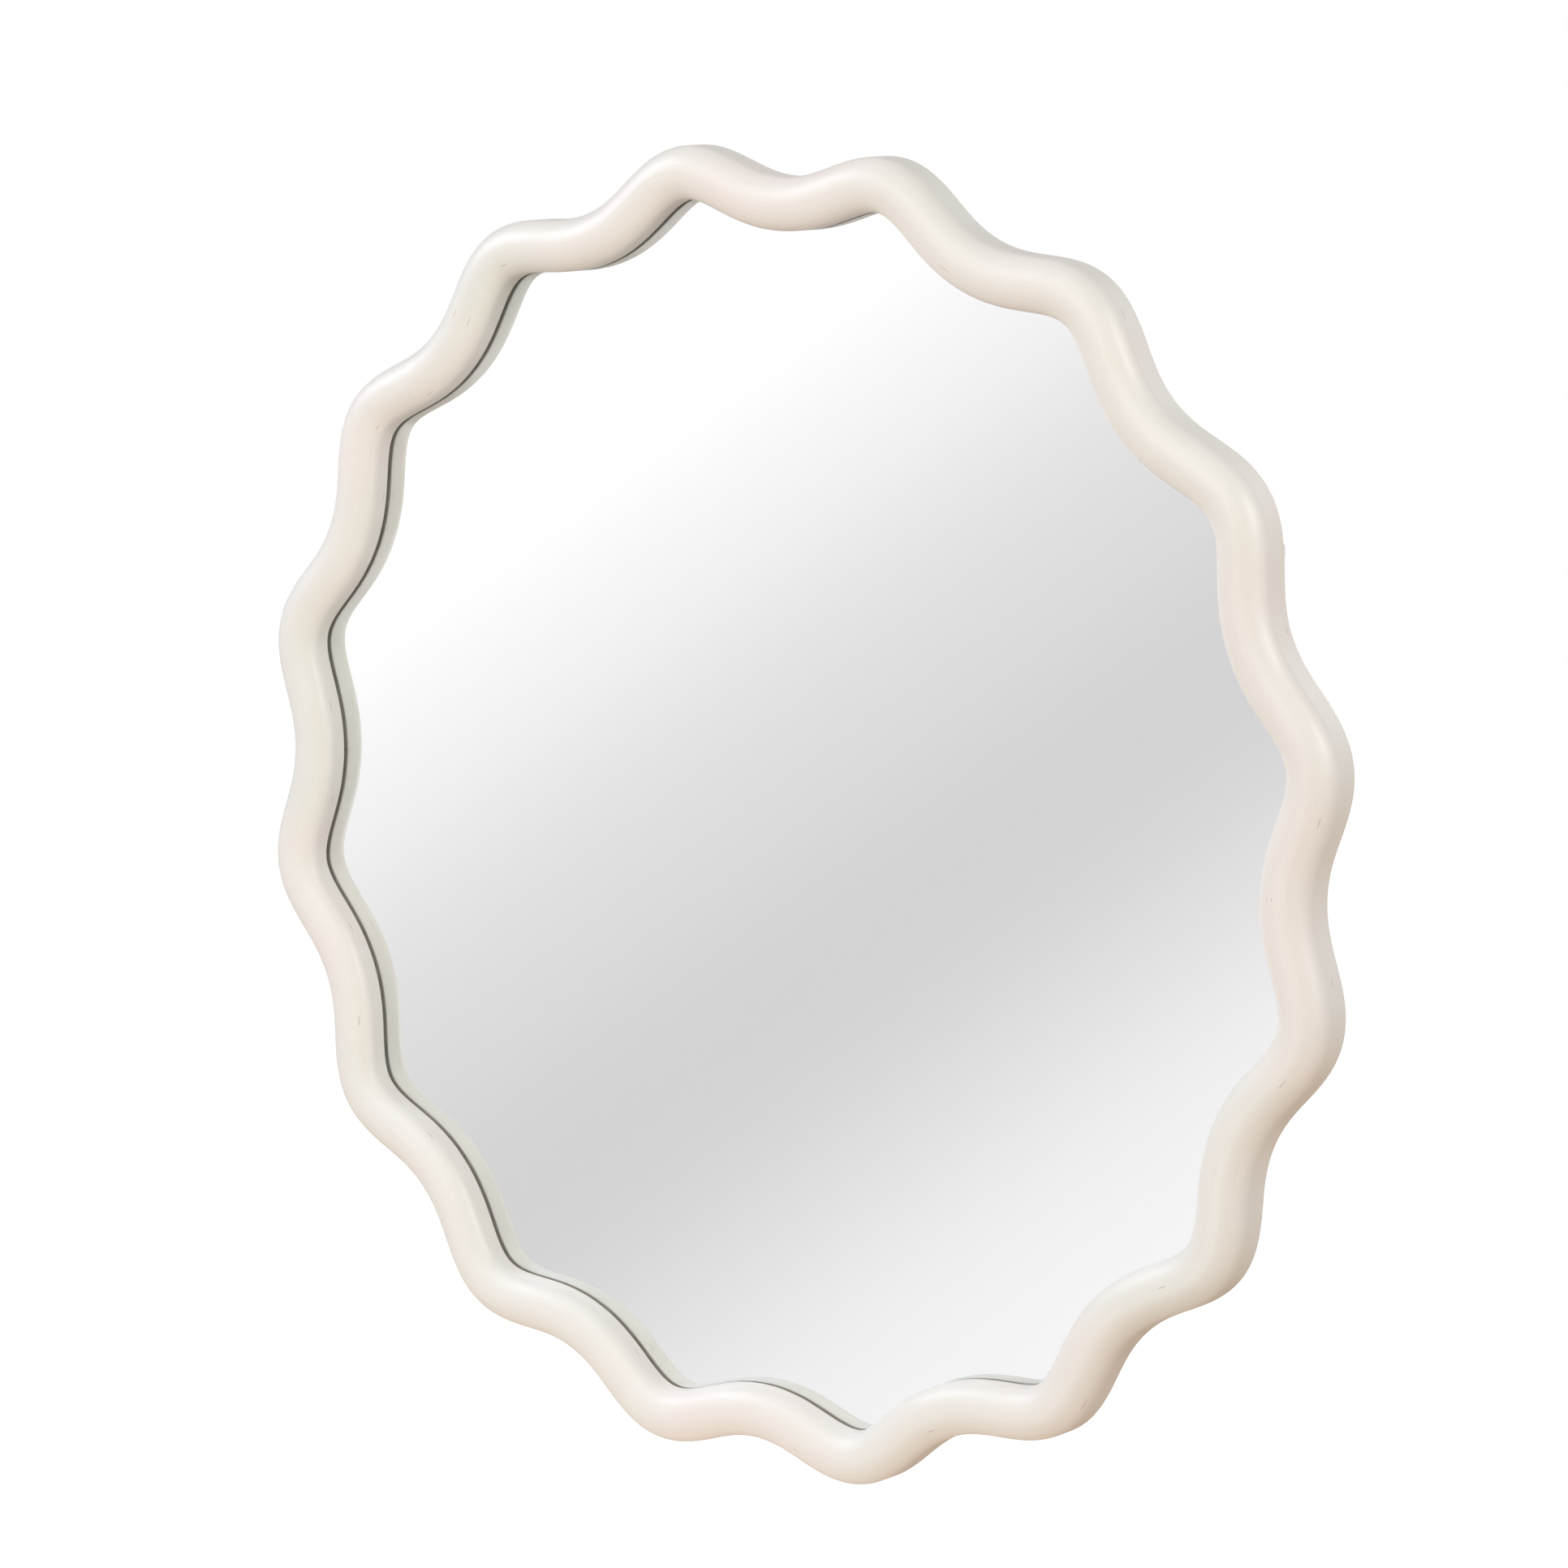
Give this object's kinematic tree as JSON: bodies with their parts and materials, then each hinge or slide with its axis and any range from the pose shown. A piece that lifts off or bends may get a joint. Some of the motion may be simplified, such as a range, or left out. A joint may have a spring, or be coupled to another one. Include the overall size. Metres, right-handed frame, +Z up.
{
  "type": "scalloped wall mirror",
  "caption": "Round wall mirror in a cream lacquered wavy moulding, with a backing board, retaining clips, two swinging hanging rings and wall pads.",
  "frame": {"origin": "centre of the ring, on the plane of the wall that the pads rest on", "axes": "+Z up, +Y into the wall, the glass faces -Y, +X to the right seen from the front"},
  "size_m": [0.8988, 0.0421, 0.8988],
  "materials": {
    "cream_lacquer": "satin cream lacquer",
    "beech": "raw",
    "float_glass": "polished",
    "silvering": "mirror",
    "white_foam": "matte",
    "hardboard": "raw",
    "zinc_steel": "zinc plated",
    "yellow_zinc": "yellow zinc plated",
    "pad_rubber": "matte"
  },
  "bodies": {
    "mirror": {"frame_segment_1": "cream_lacquer", "frame_segment_2": "cream_lacquer", "frame_segment_3": "cream_lacquer", "frame_segment_4": "cream_lacquer", "frame_segment_5": "cream_lacquer", "frame_segment_6": "cream_lacquer", "frame_segment_7": "cream_lacquer", "frame_segment_8": "cream_lacquer", "frame_dowels": "beech", "mirror_glass": "float_glass", "silver_coat": "silvering", "foam_sheet": "white_foam", "backing_board": "hardboard", "retainer_clip_1": "zinc_steel", "retainer_clip_2": "zinc_steel", "retainer_clip_3": "zinc_steel", "retainer_clip_4": "zinc_steel", "retainer_clip_5": "zinc_steel", "retainer_clip_6": "zinc_steel", "retainer_clip_7": "zinc_steel", "retainer_clip_8": "zinc_steel", "clip_screws": "yellow_zinc", "hanger_strap_left": "zinc_steel", "hanger_strap_right": "zinc_steel", "hanger_screws": "yellow_zinc", "wall_pad_top_left": "pad_rubber", "wall_pad_top_right": "pad_rubber", "wall_pad_bottom_left": "pad_rubber", "wall_pad_bottom_right": "pad_rubber"},
    "ring_left": {"hanger_ring_left": "zinc_steel"},
    "ring_right": {"hanger_ring_right": "zinc_steel"}
  },
  "joints": [
    {"name": "ring_left_hinge", "type": "hinge", "parent": "mirror", "child": "ring_left", "pos_m": [-0.37758, -0.00522, 0.21014], "axis": [-1, 0, 0], "range_deg": [0, 178]},
    {"name": "ring_right_hinge", "type": "hinge", "parent": "mirror", "child": "ring_right", "pos_m": [0.37758, -0.00522, 0.21014], "axis": [-1, 0, 0], "range_deg": [0, 178]}
  ]
}
